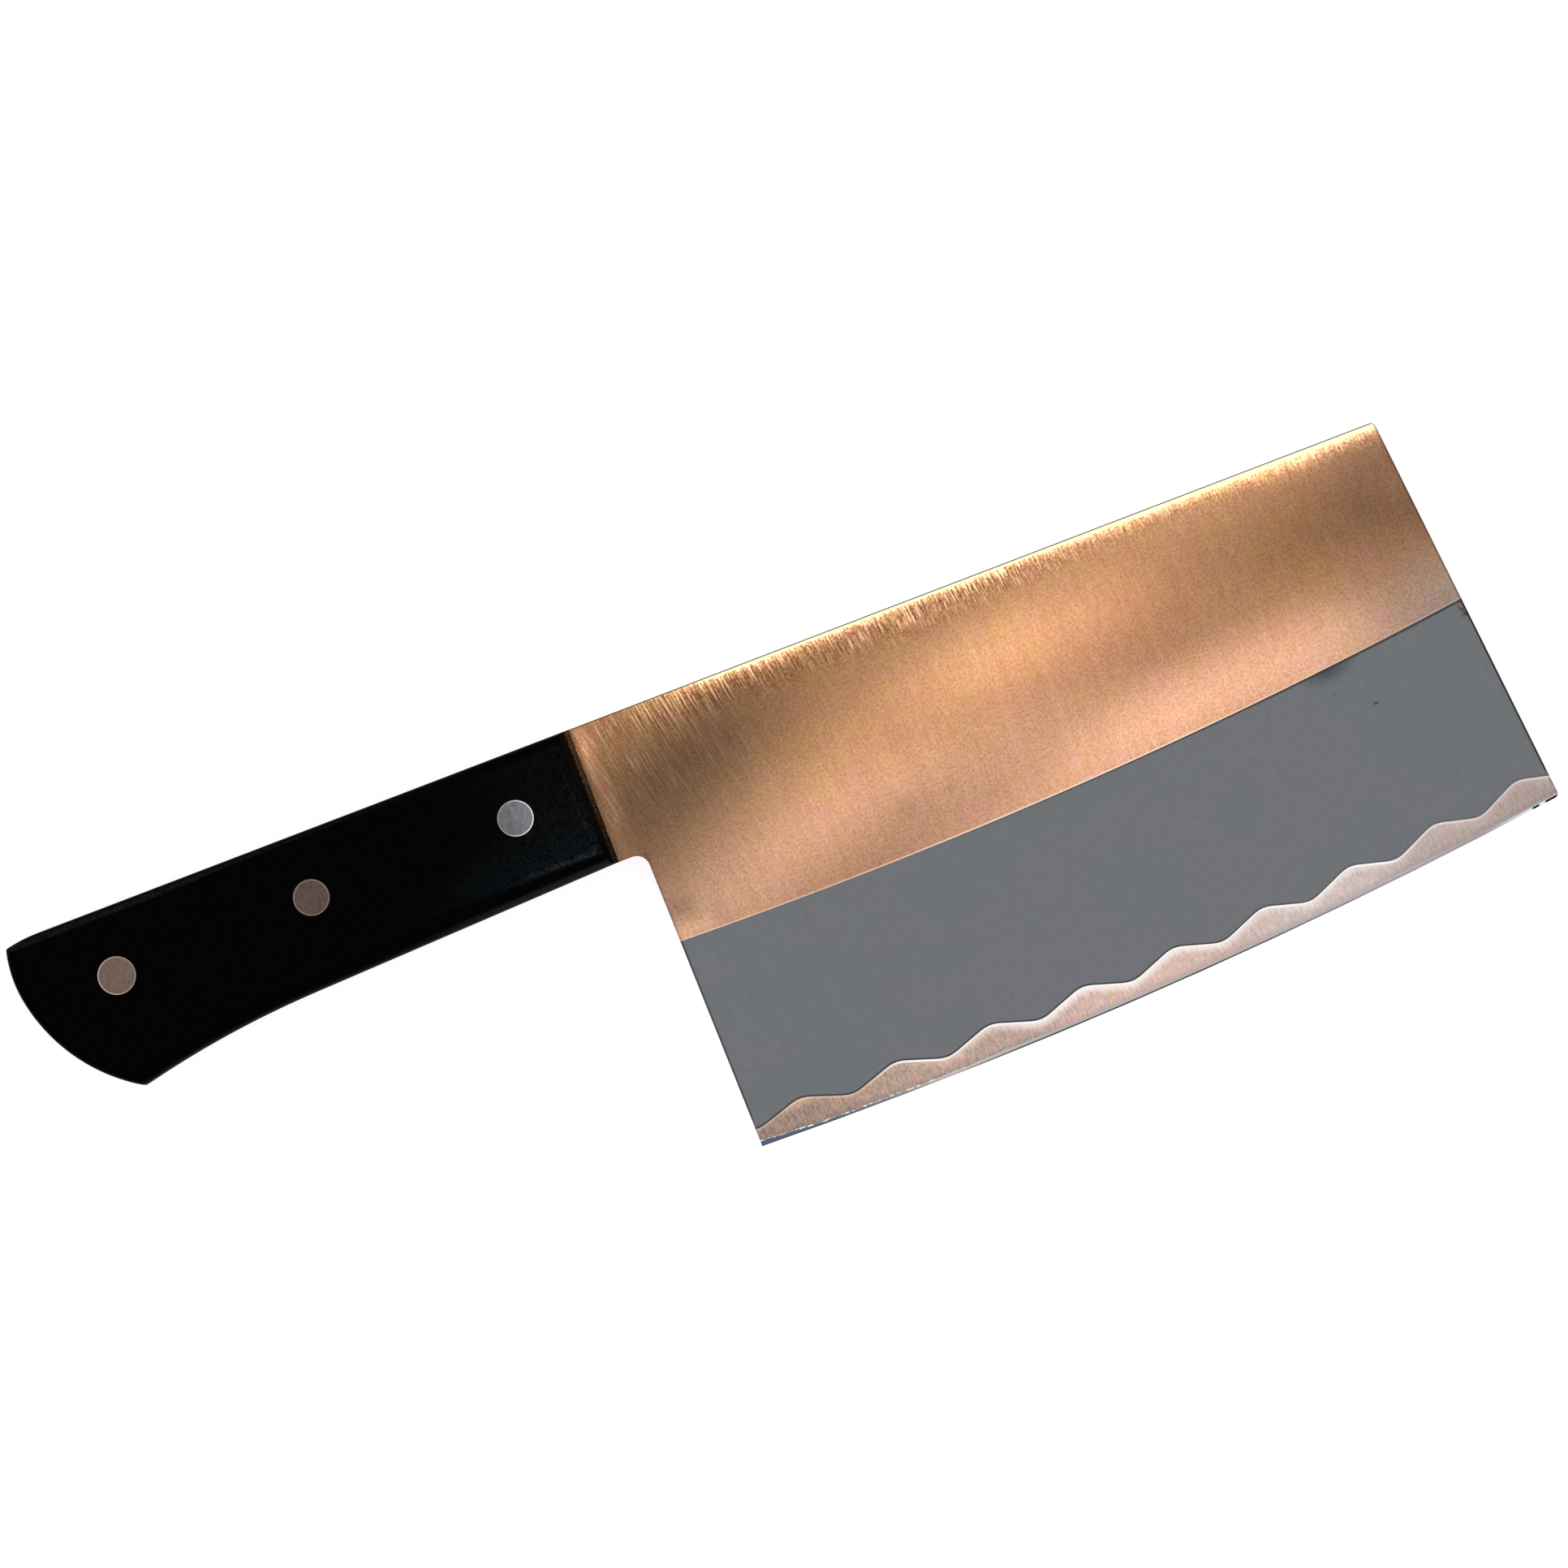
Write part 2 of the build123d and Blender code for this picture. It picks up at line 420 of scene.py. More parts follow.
struck = blade.calc("MAXIMUM", blade.times(near_spine, left_end), blade.times(left_part, 0.6))
struck = blade.calc("MAXIMUM", struck, blade.times(near_handle, 0.7))
print("combed strip below the spine in mm:", deep_strip, "to", shallow_strip)

# %% Lay the marks over one another
right_end = blade.calc("SUBTRACT", 1.0, left_end)
hairs = blade.total(blade.times(hairs, left_end), blade.times(upright_hairs, right_end))
scratches = blade.total(
    blade.fade(hairs, 0.0, 0.5, -0.2, 1.35),
    blade.fade(hairs, 0.0, -0.5, 0.0, -0.5),
)
streaks = blade.total(
    1.0,
    blade.times(hairs, 0.16),
    blade.times(scratches, combed),
    blade.times(blade.fade(long_marks, 0.36, 0.6), struck, 0.8),
    blade.times(blade.fade(long_marks, -0.25, -0.5), struck, -0.25),
    blade.times(broad, 0.1),
    blade.times(grit, blade.calc("MULTIPLY_ADD", near_spine, 0.45, 0.42)),
)
darkest_streak = 0.35
streaks = blade.calc("MAXIMUM", streaks, darkest_streak)
print("no mark is darker than:", darkest_streak, "of the steel round it")

# %% [markdown]
# ## The hues of the flat
# Copper is not one colour here. It turns olive in small clouds, redder on the bright ridge, peach further
# down, paler beside the handle and rosy at the tip. Each hue is laid over the last one through a patch or a
# fade. A colour ramp along one axis couldn't follow them, because they drift in both directions.

# %% Copper, peach and rose
copper = (1.0, 0.495, 0.25)
olive_copper = (1.0, 0.54, 0.262)
red_copper = (1.0, 0.47, 0.245)
pale_copper = (1.0, 0.57, 0.315)
peach = (1.0, 0.54, 0.33)
pale_peach = (1.0, 0.61, 0.40)
tip_peach = (1.0, 0.54, 0.32)
blush = (1.0, 0.61, 0.42)
rose = (1.0, 0.80, 0.66)
clouds = blade.fade(blade.grain((2.2, 4.5, 5.0), 2.0, 21.0), -0.3, 0.3)
hue = blade.mix(clouds, copper, olive_copper)
hue = blade.mix(blade.times(blade.patch((86, 26), (74, 44)), 0.6), hue, red_copper)
hue = blade.mix(blade.fade(down, 22.0, 40.0), hue, peach)
hue = blade.mix(blade.patch((-14, 26), (76, 44)), hue, pale_copper)
hue = blade.mix(blade.times(blade.patch((-20, 2), (60, 40)), 0.6), hue, pale_peach)
hue = blade.mix(blade.times(blade.fade(forward, 155.0, 172.0), 0.6), hue, tip_peach)
hue = blade.mix(blade.patch((140, 0), (80, 44)), hue, blush)
hue = blade.mix(blade.patch((160, 3), (64, 50)), hue, rose)
print("the hue runs from", copper, "to", rose)

# %% [markdown]
# ## The glow along the spine
# At the spine the polishing wheel rolls the surface over, so a strip there mirrors a bright lamp instead of
# the room. Its light fades exponentially with the distance from the spine, with a ragged end that the hairs
# give it, and above it lies a narrow solid glare that widens towards the tip. Where the light would be more
# than white, a minimum holds it, which turns copper to gold and then to cream, just as an overexposed
# photograph does. A separate strip of bright metal would show a seam.

# %% The lamp's light, and how far down it reaches
handle_reach = 2.2
middle_reach = 0.98
fall_power = 1.22
lamp = blade.total(
    blade.fade(forward, 8.0, 24.0, 0.0, 0.4),
    blade.fade(forward, 20.0, 40.0, 0.0, 2.8),
    blade.fade(toward_tip, 0.0, 1.0, 0.0, 0.55),
)
lamp_reach = blade.total(
    blade.fade(forward, 12.0, 36.0, handle_reach, middle_reach),
    blade.fade(forward, 138.0, 160.0, 0.0, 0.5),
    blade.fade(forward, 160.0, 172.0, 0.0, -0.3),
)
ragged_hairs = blade.times(hairs, blade.fade(toward_tip, 0.0, 1.0, -0.6, -0.2))
ragged = blade.total(down, ragged_hairs, blade.times(grit, -0.8), 0.05)
ragged = blade.calc("MAXIMUM", ragged, 0.0)
fall = blade.calc("POWER", blade.calc("DIVIDE", ragged, lamp_reach), fall_power)
glow = blade.times(lamp, blade.calc("EXPONENT", blade.times(fall, -1.0)))
glare_reach = blade.fade(forward, 90.0, 152.0, 0.95, 1.35)
glare = blade.fade(blade.calc("DIVIDE", down, glare_reach), 1.0, 0.5, 0.0, 2.5)
glow = blade.total(glow, blade.times(glare, blade.fade(forward, 24.0, 36.0)))
print("the lamp falls to a third in mm:", handle_reach, "at the handle and", middle_reach, "in the middle")

# %% Colour the flat
warm_tint = (1.0, 0.91, 0.82)
cool_tint = (1.0, 1.09, 1.24)
pink_tint = (1.0, 0.975, 1.05)
yellow_tint = (1.0, 1.025, 0.95)
brightest_cream = (0.98, 0.955, 0.65)
rim_brown = (0.12, 0.09, 0.06)
# Painted shade darkens the steel in the first 1.4 mm in front of the handle, more so near the spine.
shade_beside_handle = blade.fade(forward, 0.3, 1.4, blade.fade(down, 18.0, 12.0, 1.0, 0.7), 1.0)
tone = blade.times(blade.total(tone, glow), streaks, shade_beside_handle)
paler = blade.mix(blade.fade(streaks, 0.6, 1.5), warm_tint, cool_tint)
blotches = blade.fade(blade.grain((8.0, 6.5, 8.0), 2.0, 50.0), -0.3, 0.3)
hue = blade.vector("MULTIPLY", hue, blade.mix(blotches, pink_tint, yellow_tint))
hue = blade.vector("MULTIPLY", hue, paler)
copper_steel = blade.vector("MINIMUM", blade.shade(tone, hue), brightest_cream)
spine_line = blade.times(blade.fade(down, 0.27, 0.17), 0.65)
copper_steel = blade.mix(spine_line, copper_steel, rim_brown)
print("the glare is held at:", brightest_cream)

# %% [markdown]
# ## The grey bevel and the pale band
# The bevel is blasted to an even slate grey, so a fine grit and a slow drift of hue are all that it needs.
# The band below it is stroked bright again, with short strokes from the edge up. It is brown at the heel and
# silvery further on, which one noise for the strokes and a few fades along the blade can give.

# %% Slate
blue_slate = (0.178, 0.184, 0.201)
green_slate = (0.174, 0.184, 0.190)
coarse_grit = blade.grain((1.0, 1.0, 1.0), 2.0, 13.0)
slate_grain = blade.total(blade.times(grit, 0.035), blade.times(coarse_grit, 0.08), 1.0)
hue_drift = blade.fade(blade.grain((26.0, 18.0, 20.0), 1.0, 40.0), -0.3, 0.3)
slate = blade.shade(slate_grain, blade.mix(hue_drift, blue_slate, green_slate))
print("slate from", blue_slate, "to", green_slate)

# %% The band's hue, from brown to silver
brown_band = (1.0, 0.71, 0.60)
pink_band = (1.0, 0.73, 0.67)
silver_band = (1.0, 0.84, 0.79)
tip_band = (1.0, 0.79, 0.73)
gold_glint_colour = (1.0, 0.66, 0.40)
copper_fleck = (1.0, 0.70, 0.48)
stroke_width = 0.34
stroke_length = 2.6
strokes = blade.grain((stroke_width, stroke_length, through_steel), 3.0, 11.0, 4.0)
band_hue = blade.mix(blade.fade(forward, 20.0, 60.0), brown_band, pink_band)
band_hue = blade.mix(blade.fade(forward, 100.0, 132.0), band_hue, silver_band)
band_hue = blade.mix(blade.fade(forward, 148.0, 168.0), band_hue, tip_band)
near_border = blade.fade(over_border, -3.2, -1.0, 0.35, 1.0)
# Painted gold glints lie on the strokes near the wavy border, towards the heel.
gold_glints = blade.times(blade.fade(strokes, -0.15, 0.3), blade.fade(forward, 62.0, 30.0), near_border)
band_hue = blade.mix(gold_glints, band_hue, gold_glint_colour)
flecks = blade.fade(blade.grain((0.6, 0.8, 0.5), 1.0, 33.0), -0.05, 0.25)
flecks = blade.times(flecks, blade.fade(forward, 125.0, 80.0, 0.15, 0.75))
flecks = blade.times(flecks, blade.fade(forward, 15.0, 50.0, 0.35, 1.0))
band_hue = blade.mix(flecks, band_hue, copper_fleck)
print("strokes of the band in mm:", stroke_width, "by", stroke_length)

# %% The band's tone, and its strokes
heel_tone = 0.35
quarter_tone = 0.54
band_tone = blade.total(
    blade.fade(forward, 2.0, 50.0, heel_tone, quarter_tone),
    blade.fade(forward, 60.0, 88.0, 0.0, 0.21),
    blade.fade(forward, 95.0, 115.0, 0.0, -0.07),
    blade.fade(forward, 138.0, 156.0, 0.0, -0.15),
    blade.fade(forward, 160.0, 187.0, 0.0, -0.09),
)
band_tone = blade.times(band_tone, blade.fade(above_edge, 0.9, 2.2, 0.84, 1.0))
stroke_depth = blade.fade(forward, 10.0, 90.0, 0.85, 0.34)
speckle_depth = blade.fade(forward, 20.0, 110.0, 0.5, 0.24)
speckle = blade.times(blade.grain((0.36, 0.5, 0.5), 1.0, 44.0), speckle_depth)
band_strokes = blade.total(1.0, blade.times(strokes, stroke_depth), speckle)
band_colour = blade.shade(blade.times(band_tone, band_strokes), band_hue)
print("the band's tone rises from", heel_tone, "to", quarter_tone, "in its first quarter")

# %% [markdown]
# ## The lines where the finishes meet
# Where the etch ends, a dark line lies outside the wavy border, and inside it lies a painted highlight: a
# bright line, strongest on the flanks that fall towards the tip, with a painted glow below the crests. Where
# the flat is ground into the bevel, a line of painted shade lies below the ridge and a painted highlight
# above it. Each line is two fades multiplied, one for each of its sides. A groove in the mesh would be too
# small to see.

# %% The painted glow below the crests
warm_glow = (0.95, 0.69, 0.54)
white_glow = (1.0, 0.89, 0.825)
crest_glow = blade.total(
    blade.fade(forward, 30.0, 76.0, 0.08, 0.95),
    blade.fade(forward, 98.0, 124.0, 0.0, -0.4),
    blade.fade(forward, 140.0, 156.0, 0.0, -0.4),
)
crest_glow = blade.total(crest_glow, blade.times(blade.patch((-14, -41), (9, 12)), 0.3))
ragged_border = blade.total(over_border, blade.times(strokes, 0.9))
glow_share = blade.times(blade.fade(ragged_border, -2.3, -0.4), crest_glow)
glow_hue = blade.mix(blade.fade(forward, 30.0, 75.0), warm_glow, white_glow)
band_colour = blade.mix(glow_share, band_colour, glow_hue)
print("blade nodes so far:", len(blade.nodes))

# %% The painted highlight and the dark line along the wavy border
warm_line = (0.84, 0.60, 0.49)
white_line = (1.0, 0.975, 0.955)
etch_dark = (0.03, 0.028, 0.036)
inner_width = 0.62
outer_width = 0.5
# The bright line inside the border is a painted highlight, brightest where the border falls towards the tip.
wave_highlight_share = blade.total(
    blade.fade(forward, 30.0, 42.0, 0.5, 0.98),
    blade.times(blade.patch((-14, -40.5), (10, 8)), 0.5),
    blade.fade(forward, 146.0, 166.0, 0.0, -0.6),
)
wave_highlight = blade.line(over_border, (0.04, -0.08), (-inner_width, -0.3))
right_flank = blade.fade(blade.calc("SINE", phase), -0.3, 0.7, 0.8, 1.15)
wave_highlight = blade.calc("MINIMUM", blade.times(wave_highlight, wave_highlight_share, right_flank), 1.0)
wave_highlight_hue = blade.mix(blade.fade(forward, 24.0, 38.0), warm_line, white_line)
band_colour = blade.mix(wave_highlight, band_colour, wave_highlight_hue)
outer_line = blade.line(over_border, (outer_width, 0.2), (-0.02, 0.08))
outer_share = blade.fade(forward, 90.0, 160.0, 0.85, 0.3)
slate = blade.mix(blade.times(outer_line, outer_share), slate, etch_dark)
print("the bright and the dark line fade out in mm:", inner_width, outer_width)

# %% The border of the flat, with its painted shade line and its painted highlight
flat_height = 45.6
shadow_grey = (0.045, 0.045, 0.05)
border_peach = (0.98, 0.80, 0.66)
under_flat = blade.calc("SUBTRACT", flat_height, above_edge)
# Painted shade lies along the bevel just below the flat's border, and a painted highlight along the flat just
# above it.
line_depth = blade.fade(forward, 110.0, 165.0, 0.42, 0.75)
ridge_shade = blade.fade(blade.calc("DIVIDE", under_flat, line_depth), 1.0, 0.4)
ridge_shade = blade.times(ridge_shade, blade.fade(forward, 50.0, 120.0, 0.1, 0.85))
slate = blade.mix(ridge_shade, slate, shadow_grey)
ridge_highlight = blade.line(under_flat, (0.0, -0.08), (-0.4, -0.2))
ridge_highlight_share = blade.total(
    blade.fade(forward, 30.0, 80.0, 0.35, 0.7),
    blade.fade(forward, 115.0, 158.0, 0.0, -0.5),
)
copper_steel = blade.mix(blade.times(ridge_highlight, ridge_highlight_share), copper_steel, border_peach)
print("the flat ends above the edge in mm:", flat_height)

# %% A smudge, a stain and two pits
smudge_grey = (0.05, 0.05, 0.055)
stain_grey = (0.03, 0.03, 0.035)
smudge = blade.times(blade.patch((120.5, 3.4), (16, 8), 5), 0.75)
slate = blade.mix(smudge, slate, smudge_grey)
tip_stain = blade.patch((151.8, 4.6), (4.0, 6.0), 10)
tip_stain = blade.times(tip_stain, blade.fade(coarse_grit, -0.1, 0.15), 1.2)
pits = blade.total(
    blade.patch((127.6, -6.9), (1.7, 1.0)),
    blade.times(blade.patch((120.0, -2.3), (1, 1)), 0.3),
)
slate = blade.mix(blade.calc("MINIMUM", blade.total(tip_stain, pits), 0.8), slate, stain_grey)
print("blade nodes so far:", len(blade.nodes))

# %% Join the flat, the bevel and the band
in_flat = blade.fade(under_flat, soft_edge, -soft_edge)
lower = blade.mix(in_band, slate, band_colour)
face = blade.mix(in_flat, lower, copper_steel)
print("blade nodes so far:", len(blade.nodes))

# %% [markdown]
# ## The cutting bevel
# The last millimetre is honed on a stone. It mirrors whatever lies beside it, so it is blue-grey at the heel,
# palest a quarter of the way along and grey further on, with a dark line at the very edge and two dark dashes
# at the tip. Small glints sit along its top near the heel. The solid already has this bevel as a shape, but
# it is too narrow to catch the lamps by itself, so its tones are set here.

# %% The bevel's steel
heel_blue = (0.115, 0.14, 0.19)
heel_grey = (0.27, 0.265, 0.27)
pale_steel = (0.65, 0.60, 0.59)
mid_grey = (0.52, 0.49, 0.48)
warm_grey = (0.56, 0.49, 0.465)
line_blue = (0.05, 0.055, 0.065)
heel_width = 1.26
bevel_width = 0.62
bevel_top = blade.total(
    blade.fade(forward, 4.0, 22.0, heel_width, bevel_width),
    blade.fade(forward, 50.0, 62.0, 0.0, 0.3),
    blade.fade(forward, 165.0, 185.0, 0.0, 0.05),
)
under_top = blade.calc("SUBTRACT", bevel_top, above_edge)
heel_steel = blade.mix(blade.fade(forward, 20.0, 40.0), heel_blue, heel_grey)
edge_steel = blade.mix(blade.fade(forward, 34.0, 50.0), heel_steel, pale_steel)
grey_steel = blade.mix(blade.fade(above_edge, 0.3, 0.8), mid_grey, warm_grey)
grey_steel = blade.shade(blade.fade(forward, 145.0, 180.0, 1.0, 0.78), grey_steel)
edge_steel = blade.mix(blade.fade(forward, 50.0, 68.0), edge_steel, grey_steel)
low_share = blade.total(
    blade.fade(forward, 165.0, 105.0, 0.2, 1.0),
    blade.fade(forward, 66.0, 44.0, 0.0, -0.85),
)
low_line = blade.times(low_share, blade.fade(above_edge, 0.4, 0.22))
edge_steel = blade.mix(low_line, edge_steel, line_blue)
print("the honed strip narrows from the heel on in mm:", heel_width, "to", bevel_width)

# %% The tip's gleam and dashes, and the heel's glints
gleam = (0.86, 0.97, 0.97)
dash_blue = (0.003, 0.004, 0.03)
glint_white = (0.93, 0.95, 1.0)
tip_gleam = blade.times(blade.fade(forward, 166.0, 184.0), blade.fade(above_edge, 0.65, 0.45))
edge_steel = blade.mix(tip_gleam, edge_steel, gleam)
two_dashes = blade.total(
    blade.line(forward, (180.3, 180.8), (182.4, 181.9)),
    blade.fade(forward, 183.2, 183.8),
)
two_dashes = blade.times(two_dashes, blade.fade(above_edge, 0.5, 0.42))
edge_steel = blade.mix(two_dashes, edge_steel, dash_blue)
nicks = blade.grain((1.3, 0.5, through_steel), 1.0, 17.0)
glints = blade.times(
    blade.line(under_top, (-0.22, -0.1), (0.22, 0.1)),
    blade.fade(forward, 66.0, 36.0),
    blade.fade(nicks, 0.05, 0.17, 0.12, 1.0),
)
in_cutting = blade.fade(under_top, -0.04, 0.04)
face = blade.mix(in_cutting, face, edge_steel)
face = blade.mix(glints, face, glint_white)
print("blade nodes so far:", len(blade.nodes))

# %% [markdown]
# ## The ends and the sides
# A blade is cut out of its sheet, so its narrow sides are plain ground steel, and the broken corner round
# them gets a thin line of painted shade at the tip and the heel. The line is found from the straight ends,
# each leaning a little. The sides are told from the faces by the way that the surface faces.

# %% The painted shade lines at the ends, and the narrow sides
end_depth = 86.0
tip_start = 147.9
tip_lean = 8.3
heel_start = -25.25
heel_lean = 1.3
choil_depth = 29.3
end_shade_brown = (0.03, 0.024, 0.02)
side_grey = (0.34, 0.31, 0.28)
corner_brown = (0.09, 0.07, 0.05)
down_share = blade.calc("DIVIDE", down, end_depth)
tip_gap = blade.calc("SUBTRACT", blade.calc("MULTIPLY_ADD", down_share, tip_lean, tip_start), blade.x)
heel_gap = blade.calc("SUBTRACT", blade.x, blade.calc("MULTIPLY_ADD", down_share, heel_lean, heel_start))
above_choil = blade.fade(down, choil_depth + 0.1, choil_depth - 0.1, 0.0, 9.0)
heel_gap = blade.total(heel_gap, above_choil)
end_gap = blade.calc("MINIMUM", blade.calc("ABSOLUTE", tip_gap), blade.calc("ABSOLUTE", heel_gap))
# The broken corner at each end gets a thin line of painted shade.
end_shade = blade.times(
    blade.fade(end_gap, 0.55, 0.3),
    blade.fade(above_edge, 5.0, 7.0, 0.25, 0.95),
)
end_shade = blade.times(
    end_shade,
    blade.fade(in_flat, 0.0, 1.0, 1.0, 0.5),
    blade.fade(forward, 10.0, 30.0, 0.7, 1.0),
)
face = blade.mix(end_shade, face, end_shade_brown)
side_marks = blade.grain((9.0, 0.3, 0.3), 2.0, 5.0)
side = blade.shade(blade.calc("MULTIPLY_ADD", side_marks, 0.35, 1.0), side_grey)
side = blade.mix(blade.fade(tilt, 0.1, 0.4), side, corner_brown)
blade_colour = blade.mix(blade.fade(tilt, 0.75, 0.93), side, face)
print("in a drop of", end_depth, "mm the ends lean by mm:", tip_lean, "and", heel_lean)

# %% [markdown]
# ## Roughness and relief on the blade
# Grinding leaves fine grooves from the spine down, so highlights spread along the blade and stay narrow
# across it. The shader's anisotropy does that, once its tangent points along the blade. Near the spine the
# polishing wheel rolls the surface over a little, which a shallow relief imitates.

# %% Finish the blade
flat_roughness = 0.3
blasted_roughness = 0.44
rolled_width = 4.0
rolled_height = 0.12
flat_start = (flat_height - soft_edge, flat_height + soft_edge)
roughness = blade.fade(above_edge, *flat_start, blasted_roughness, flat_roughness)
roughness = blade.total(roughness, blade.times(hairs, 0.05), blade.times(grit, 0.03))
along_blade = blade.add("ShaderNodeCombineXYZ", 1.0, 0.0, 0.0)
roll = blade.fade(down, rolled_width, 0.0, 0.0, -rolled_height)
relief = blade.total(roll, blade.times(hairs, 0.004))
blade.paint(Base_Color=blade_colour, Roughness=roughness, Tangent=along_blade)
blade.bump(relief, 1.0)
print("blade nodes:", len(blade.nodes))

# %% [markdown]
# ## The handle laminate
# The slabs are wood veneers soaked in black resin and pressed. They are almost black, with a faint cool
# painted sheen on the front third of each side, and only their edges catch the light: a thin line along the
# top, one beside the front chamfer, a short one at the foot of the side and the rounding underneath. The
# chamfer itself is brownish, a painted warm reflection, brightest at its front edge and higher up. A glossy
# black with lamps placed for each edge would change with every other lamp, so the sheen and these faint
# lines are painted in the finish, by place and by facing.

# %% The slab's sides
deep_black = (0.0001, 0.0001, 0.0001)
high_sheen = (0.0025, 0.0026, 0.0030)
low_sheen = (0.0022, 0.0038, 0.0047)
slab = Finish("black_laminate", Metallic=0.0, Specular_IOR_Level=0.015)
pores = slab.grain((3.0, 0.25, 0.25), 3.0)
specks = slab.grain((0.5, 0.45, 0.45), 1.0, 30.0)
cloud = slab.grain((11.0, 7.0, 7.0), 2.0, 12.0)
low_part = slab.fade(slab.y, 31.0, 24.0)
sheen_start = slab.calc("MULTIPLY_ADD", low_part, -20.0, -62.0)
sheen_share = slab.fade(slab.total(slab.x, slab.times(cloud, 9.0)), sheen_start, -36.0)
sheen_share = slab.times(sheen_share, slab.fade(slab.y, 45.8, 45.0), slab.fade(slab.y, 20.9, 21.5))
sheen = slab.mix(low_part, high_sheen, low_sheen)
sheen = slab.shade(slab.fade(slab.y, 40.0, 30.0, 0.9, 1.5), sheen)
black = slab.mix(sheen_share, deep_black, sheen)
print("slab nodes so far:", len(slab.nodes))

# %% The painted highlights along its edges
front_grey = (0.009, 0.0098, 0.012)
foot_grey = (0.0145, 0.0158, 0.018)
top_violet = (0.0065, 0.0062, 0.0105)
side_foot = 21.4
side_top = 46.0
line_slant = 0.047
line_setback = 32.83
line_x = slab.total(slab.x, slab.times(slab.y, line_slant), line_setback)
front_line = slab.times(
    slab.line(line_x, (-0.4, -0.05), (0.32, 0.05)),
    slab.fade(slab.y, side_top, 30.0, 0.15, 0.85),
    slab.fade(slab.y, side_foot, side_foot + 0.5),
)
black = slab.mix(slab.times(front_line, slab.fade(specks, -0.4, 0.1)), black, front_grey)
foot_line = slab.times(
    slab.line(slab.y, (side_foot, side_foot + 0.5), (22.8, 22.3)),
    slab.fade(slab.x, -33.6, -34.2),
    slab.fade(slab.x, -56.0, -38.0),
)
black = slab.mix(foot_line, black, foot_grey)
top_start = slab.fade(slab.x, -125.0, -100.0, 45.7, 46.4)
top_line = slab.times(
    slab.fade(slab.calc("SUBTRACT", slab.y, top_start), 0.0, 0.35),
    slab.fade(slab.y, 47.15, 46.9),
    slab.fade(slab.x, -115.0, -40.0, 1.0, 0.05),
)
black = slab.mix(top_line, black, top_violet)
setbacks = [round(handle_front + line_setback + line_slant * y, 1) for y in (side_foot, side_top)]
print("the front line lies behind the handle's front by mm:", setbacks)

# %% The rounding underneath, the chamfer and the narrow sides
lit_green = (0.0125, 0.0123, 0.009)
under_brown = (0.0065, 0.0055, 0.0042)
chamfer_brown = (0.0048, 0.0032, 0.0018)
chamfer_black = (0.0012, 0.0011, 0.0008)
warm_reflection = (0.072, 0.040, 0.023)
narrow_black = (0.0032, 0.0031, 0.0034)
side_x, side_y = slab.facing[:2]
lit_foot = slab.times(slab.fade(side_y, -0.42, -0.68), slab.fade(slab.x, -85.0, -45.0))
black = slab.mix(lit_foot, black, lit_green)
black = slab.mix(slab.fade(side_y, -0.75, -0.95), black, under_brown)
# The chamfer's brown is a painted warm reflection, darker lower down and brightest at its front edge.
brown = slab.mix(slab.fade(slab.y, 27.0, 22.0), chamfer_brown, chamfer_black)
warm = slab.shade(slab.fade(slab.y, 44.0, 22.0, 1.0, 0.32), warm_reflection)
brown = slab.mix(slab.fade(slab.x, -31.75, -31.2), brown, warm)
black = slab.mix(slab.fade(side_x, 0.3, 0.6), black, brown)
from_middle = slab.calc("ABSOLUTE", slab.calc("SUBTRACT", slab.z, handle_top / 2))
near_tang = slab.fade(from_middle, 7.0, 6.2)
black = slab.mix(near_tang, black, narrow_black)
print("slab nodes so far:", len(slab.nodes))

# %% Finish the slabs
pore_depth = slab.calc("MULTIPLY_ADD", near_tang, 0.6, 0.3)
speck_depth = slab.calc("MULTIPLY_ADD", near_tang, -1.8, 2.2)
speck_depth = slab.times(speck_depth, slab.fade(side_y, -0.2, -0.45, 1.0, 0.15))
lively = slab.total(1.0, slab.times(pores, pore_depth), slab.times(specks, speck_depth))
lively = slab.calc("MAXIMUM", lively, 0.2)
slab.paint(Base_Color=slab.shade(lively, black), Roughness=slab.calc("MULTIPLY_ADD", pores, 0.06, 0.42))
slab.bump(pores, 0.003)
print("slab nodes:", len(slab.nodes))

# %% [markdown]
# ## The rivets
# Three steel rivets are ground flush with the slabs. Their faces show fine grinding marks and a painted
# highlight on a thin rim where the edge of the head is broken, with a dark ring of painted shade round it.
# The distance from the nearest rivet's axis gives the rim, so that one finish serves all six halves. The
# front one mirrors a cold window, and the other two the warm room; these reflections are painted too.

# %% Measure from the rivets' axes
far_away = 1000.0
rivet = Finish("ground_rivet_steel", Metallic=1.0, Anisotropic=0.4)
level = rivet.vector("MULTIPLY", rivet.place, flatten)
from_axis = far_away
for stud in ("front_rivet_stud", "middle_rivet_stud", "rear_rivet_stud"):
    axis_x, axis_y, _ = [(low + high) / 2 for low, high in zip(*box_in_mm(stud))]
    away = rivet.measure("DISTANCE", level, (axis_x, axis_y, 0))
    from_axis = rivet.calc("MINIMUM", from_axis, away)
    print(stud, "stands in mm at", round(axis_x, 2), round(axis_y, 2))
at_rear = rivet.fade(rivet.x, -110.0, -125.0)
at_front = rivet.fade(rivet.x, -80.0, -60.0)
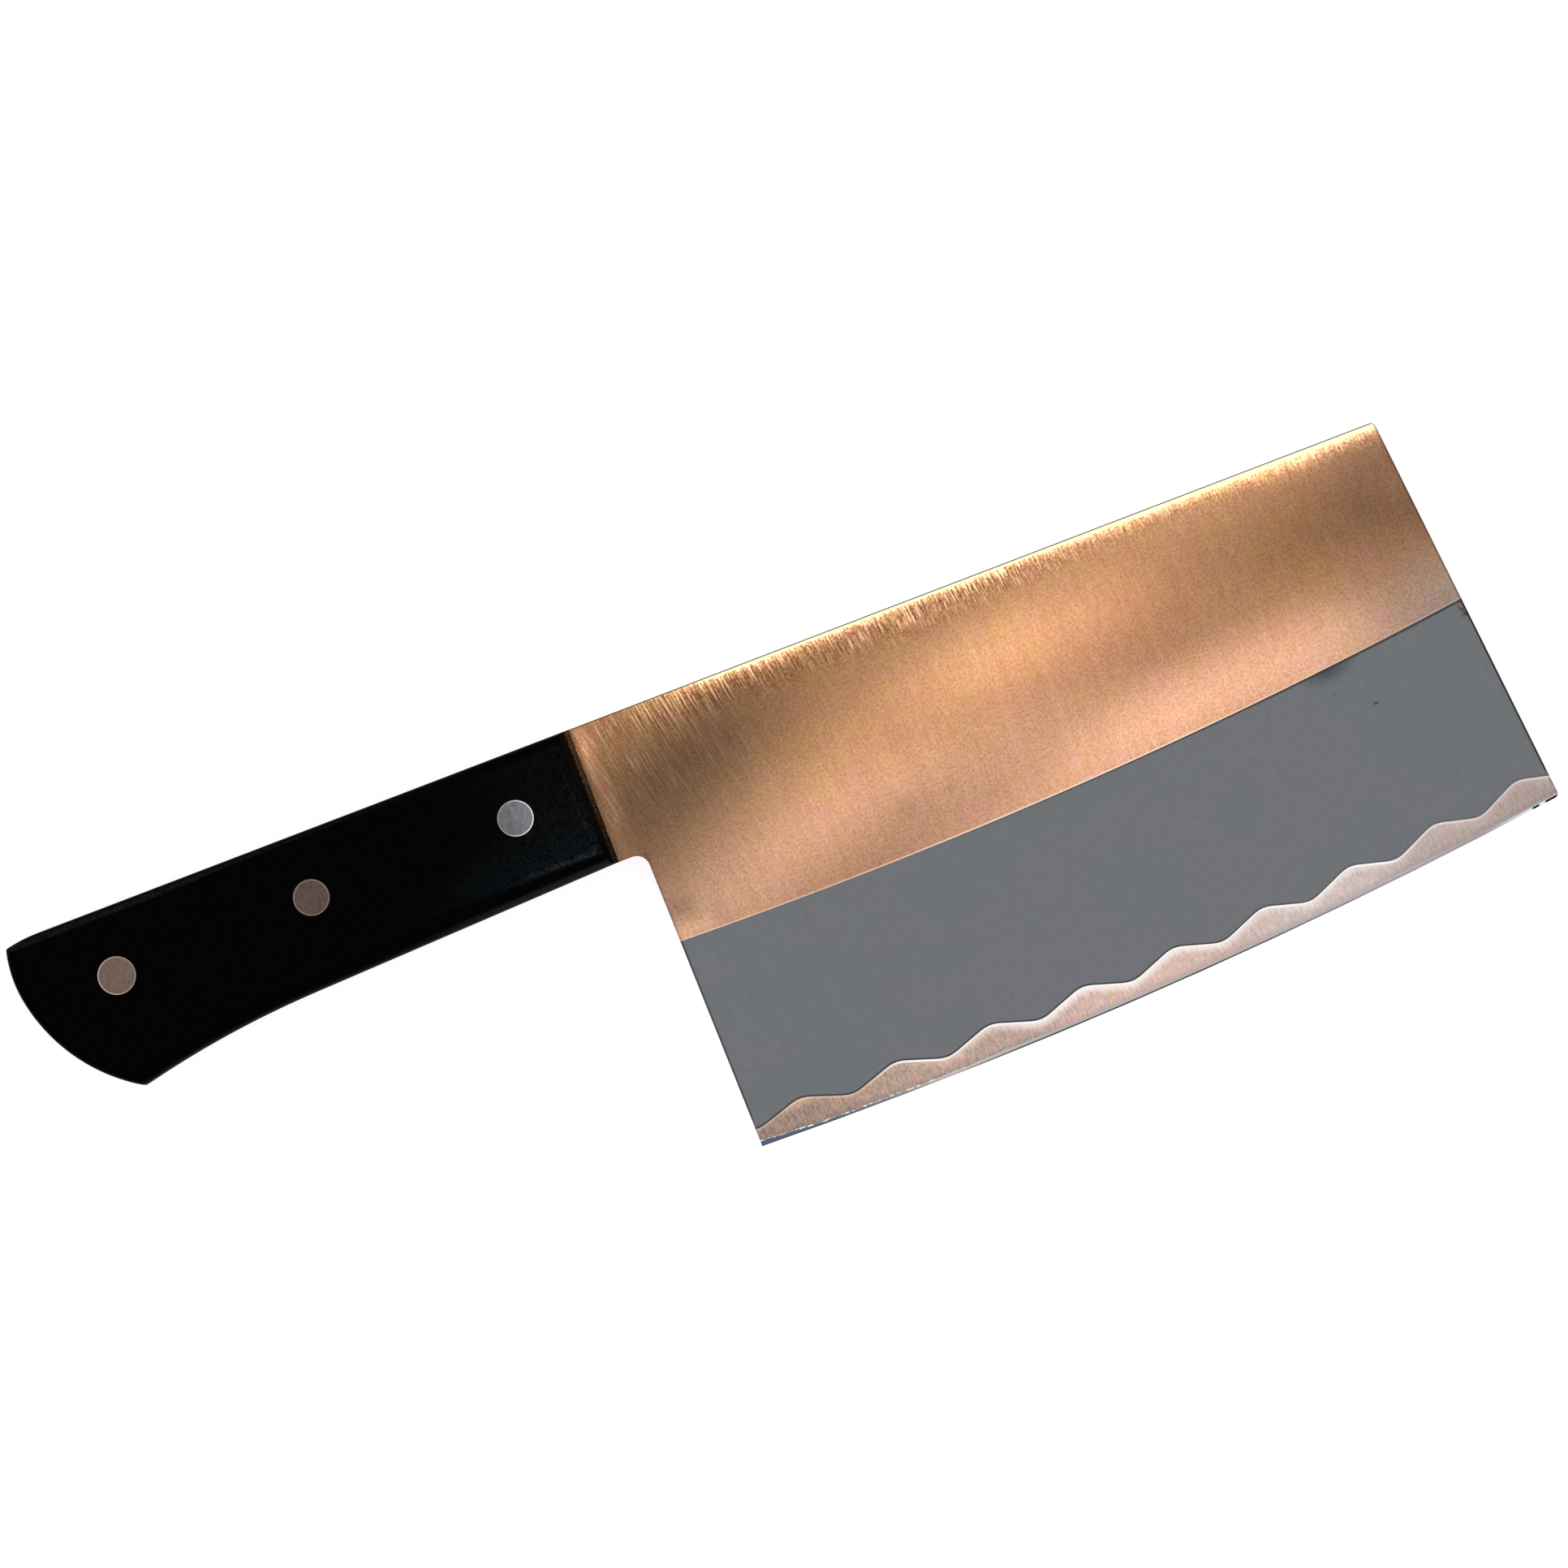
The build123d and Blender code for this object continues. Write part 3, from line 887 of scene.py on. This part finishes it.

# %% Grind the faces
# These colours are painted reflections: the warm room on the middle and rear rivets, a cold window on the
# front.
middle_steel = (0.093, 0.065, 0.055)
rear_steel = (0.150, 0.103, 0.081)
front_steel = (0.123, 0.119, 0.119)
window_steel = (0.178, 0.167, 0.196)
ground = rivet.total(rivet.grain((3.0, 0.3, 0.3), 2.0, 0.0, 60.0), rivet.grain((0.9, 0.9, 0.9), 2.0, 8.0))
drawn = rivet.times(rivet.grain((0.45, 5.0, 5.0), 2.0, 5.0), at_front)
steel = rivet.mix(at_rear, middle_steel, rear_steel)
cool_steel = rivet.mix(rivet.fade(rivet.x, -50.5, -45.0), front_steel, window_steel)
steel = rivet.mix(at_front, steel, cool_steel)
steel = rivet.shade(rivet.total(1.0, rivet.times(ground, 0.3), rivet.times(drawn, 0.3)), steel)
print("rivet nodes so far:", len(rivet.nodes))

# %% Paint highlights on the rims, and shade round them
head_radius = 4.0
shaded_ring_width = 0.28
ring_shade_black = (0.004, 0.004, 0.004)
middle_rim = (0.235, 0.178, 0.15)
rear_rims = ((0.31, 0.235, 0.19), (0.46, 0.36, 0.30))
front_rims = ((0.29, 0.285, 0.29), (0.80, 0.79, 0.82))
toward_window = rivet.total(rivet.x, rivet.times(rivet.y, -0.35), 12.06)
front_rim = rivet.mix(rivet.fade(toward_window, -50.5, -43.5), *front_rims)
rear_rim = rivet.mix(rivet.fade(rivet.x, -132.0, -139.5), *rear_rims)
rim_highlight = rivet.mix(at_rear, middle_rim, rear_rim)
rim_highlight = rivet.mix(at_front, rim_highlight, front_rim)
rim_end = rivet.total(head_radius - shaded_ring_width, rivet.times(at_rear, 0.22))
past_rim = rivet.calc("SUBTRACT", from_axis, rim_end)
rim = rivet.fade(past_rim, -0.24, -0.14)
steel = rivet.mix(rivet.times(rim, 0.9), steel, rim_highlight)
# The dark ring round each head is painted shade.
steel = rivet.mix(rivet.fade(past_rim, -0.02, 0.08), steel, ring_shade_black)
rivet.paint(Base_Color=steel, Roughness=0.34)
print("rivet nodes:", len(rivet.nodes))

# %% [markdown]
# ## Putting the finishes on
# Each packed piece keeps its place and its mesh. Only the material in its slot changes, so the pieces still
# fit as they were built.

# %% Give each piece its finish
finishes = {"blade": blade, "scale": slab, "rivet": rivet}
for name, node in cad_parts.items():
    kind = next(word for word in finishes if word in name)
    for slot in node.material_slots:
        slot.material = finishes[kind].material
    print(name, "has", finishes[kind].material.name)

# %% [markdown]
